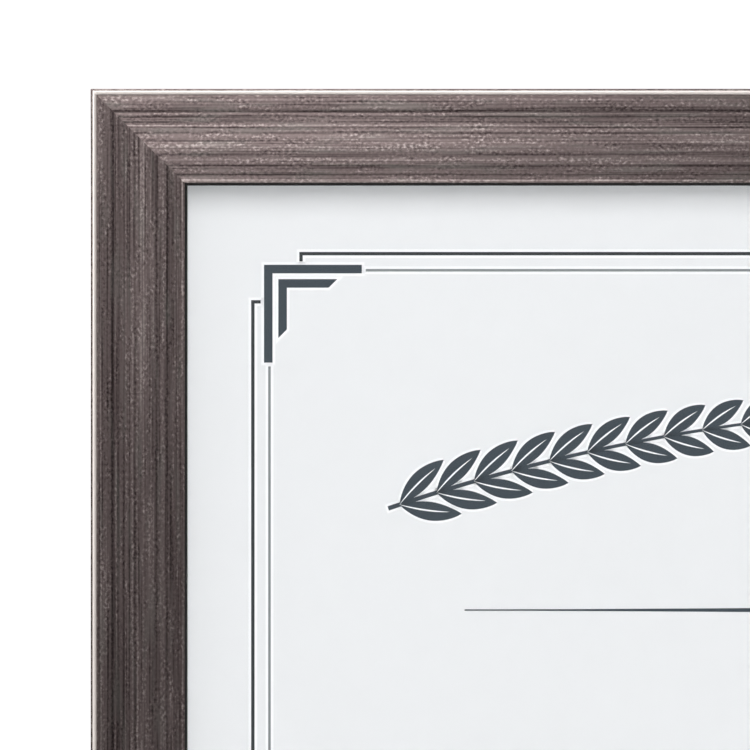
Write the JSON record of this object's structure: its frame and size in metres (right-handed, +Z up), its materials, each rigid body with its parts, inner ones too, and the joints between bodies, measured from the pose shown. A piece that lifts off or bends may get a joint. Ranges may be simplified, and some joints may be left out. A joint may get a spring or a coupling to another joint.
{
  "type": "certificate frame",
  "caption": "Landscape certificate frame of reeded wood-grain moulding with a silver edge bead, glazed pack, turn buttons, sawtooth hangers and a folding easel leg.",
  "frame": {"origin": "middle of the footprint on the table, with the frame standing on its open easel leg", "axes": "+X to the viewer's right along the frame's width, +Y to the back, +Z up; the face leans back by 14 degrees"},
  "size_m": [0.303, 0.0843, 0.2348],
  "materials": {
    "moulding": "extruded black polystyrene with a grey-brown wood-grain foil face and a silver foil bead",
    "glass": "clear float glass",
    "paper": "smooth certificate paper",
    "greyboard": "plain greyboard",
    "hardboard": "hardboard faced with black paper",
    "zinc_steel": "bright zinc plate"
  },
  "bodies": {
    "frame": {"bottom_rail": "moulding", "right_stile": "moulding", "top_rail": "moulding", "left_stile": "moulding", "glass_pane": "glass", "certificate_sheet": "paper", "filler_board": "greyboard", "backing_board": "hardboard", "corner_v_nails": "zinc_steel", "turn_button_screws": "zinc_steel", "sawtooth_hanger_top": "zinc_steel", "sawtooth_hanger_side": "zinc_steel", "hanger_nails": "zinc_steel", "hinge_fixed_leaf": "zinc_steel", "hinge_pin": "zinc_steel", "hinge_board_rivets": "zinc_steel"},
    "easel": {"easel_leg": "hardboard", "hinge_moving_leaf": "zinc_steel", "hinge_leg_rivets": "zinc_steel"},
    "turn_button_bottom_left": {"turn_button_bottom_left": "zinc_steel"},
    "turn_button_bottom_right": {"turn_button_bottom_right": "zinc_steel"},
    "turn_button_right_lower": {"turn_button_right_lower": "zinc_steel"},
    "turn_button_right_upper": {"turn_button_right_upper": "zinc_steel"},
    "turn_button_top_right": {"turn_button_top_right": "zinc_steel"},
    "turn_button_top_left": {"turn_button_top_left": "zinc_steel"},
    "turn_button_left_upper": {"turn_button_left_upper": "zinc_steel"},
    "turn_button_left_lower": {"turn_button_left_lower": "zinc_steel"}
  },
  "joints": [
    {"name": "easel_fold", "type": "hinge", "parent": "frame", "child": "easel", "pos_m": [0, 0.00817, 0.15479], "axis": [1, 0, 0], "range_deg": [-26, 0]},
    {"name": "turn_button_bottom_left_spin", "type": "hinge", "parent": "frame", "child": "turn_button_bottom_left", "pos_m": [-0.1015, -0.03105, 0.00534], "axis": [0, 0.9703, -0.2419], "continuous": true},
    {"name": "turn_button_bottom_right_spin", "type": "hinge", "parent": "frame", "child": "turn_button_bottom_right", "pos_m": [0.1015, -0.03105, 0.00534], "axis": [0, 0.9703, -0.2419], "continuous": true},
    {"name": "turn_button_right_lower_spin", "type": "hinge", "parent": "frame", "child": "turn_button_right_lower", "pos_m": [0.146, -0.02029, 0.04851], "axis": [0, 0.9703, -0.2419], "continuous": true},
    {"name": "turn_button_right_upper_spin", "type": "hinge", "parent": "frame", "child": "turn_button_right_upper", "pos_m": [0.146, 0.01346, 0.18387], "axis": [0, 0.9703, -0.2419], "continuous": true},
    {"name": "turn_button_top_right_spin", "type": "hinge", "parent": "frame", "child": "turn_button_top_right", "pos_m": [0.1015, 0.02423, 0.22705], "axis": [0, 0.9703, -0.2419], "continuous": true},
    {"name": "turn_button_top_left_spin", "type": "hinge", "parent": "frame", "child": "turn_button_top_left", "pos_m": [-0.1015, 0.02423, 0.22705], "axis": [0, 0.9703, -0.2419], "continuous": true},
    {"name": "turn_button_left_upper_spin", "type": "hinge", "parent": "frame", "child": "turn_button_left_upper", "pos_m": [-0.146, 0.01346, 0.18387], "axis": [0, 0.9703, -0.2419], "continuous": true},
    {"name": "turn_button_left_lower_spin", "type": "hinge", "parent": "frame", "child": "turn_button_left_lower", "pos_m": [-0.146, -0.02029, 0.04851], "axis": [0, 0.9703, -0.2419], "continuous": true}
  ]
}
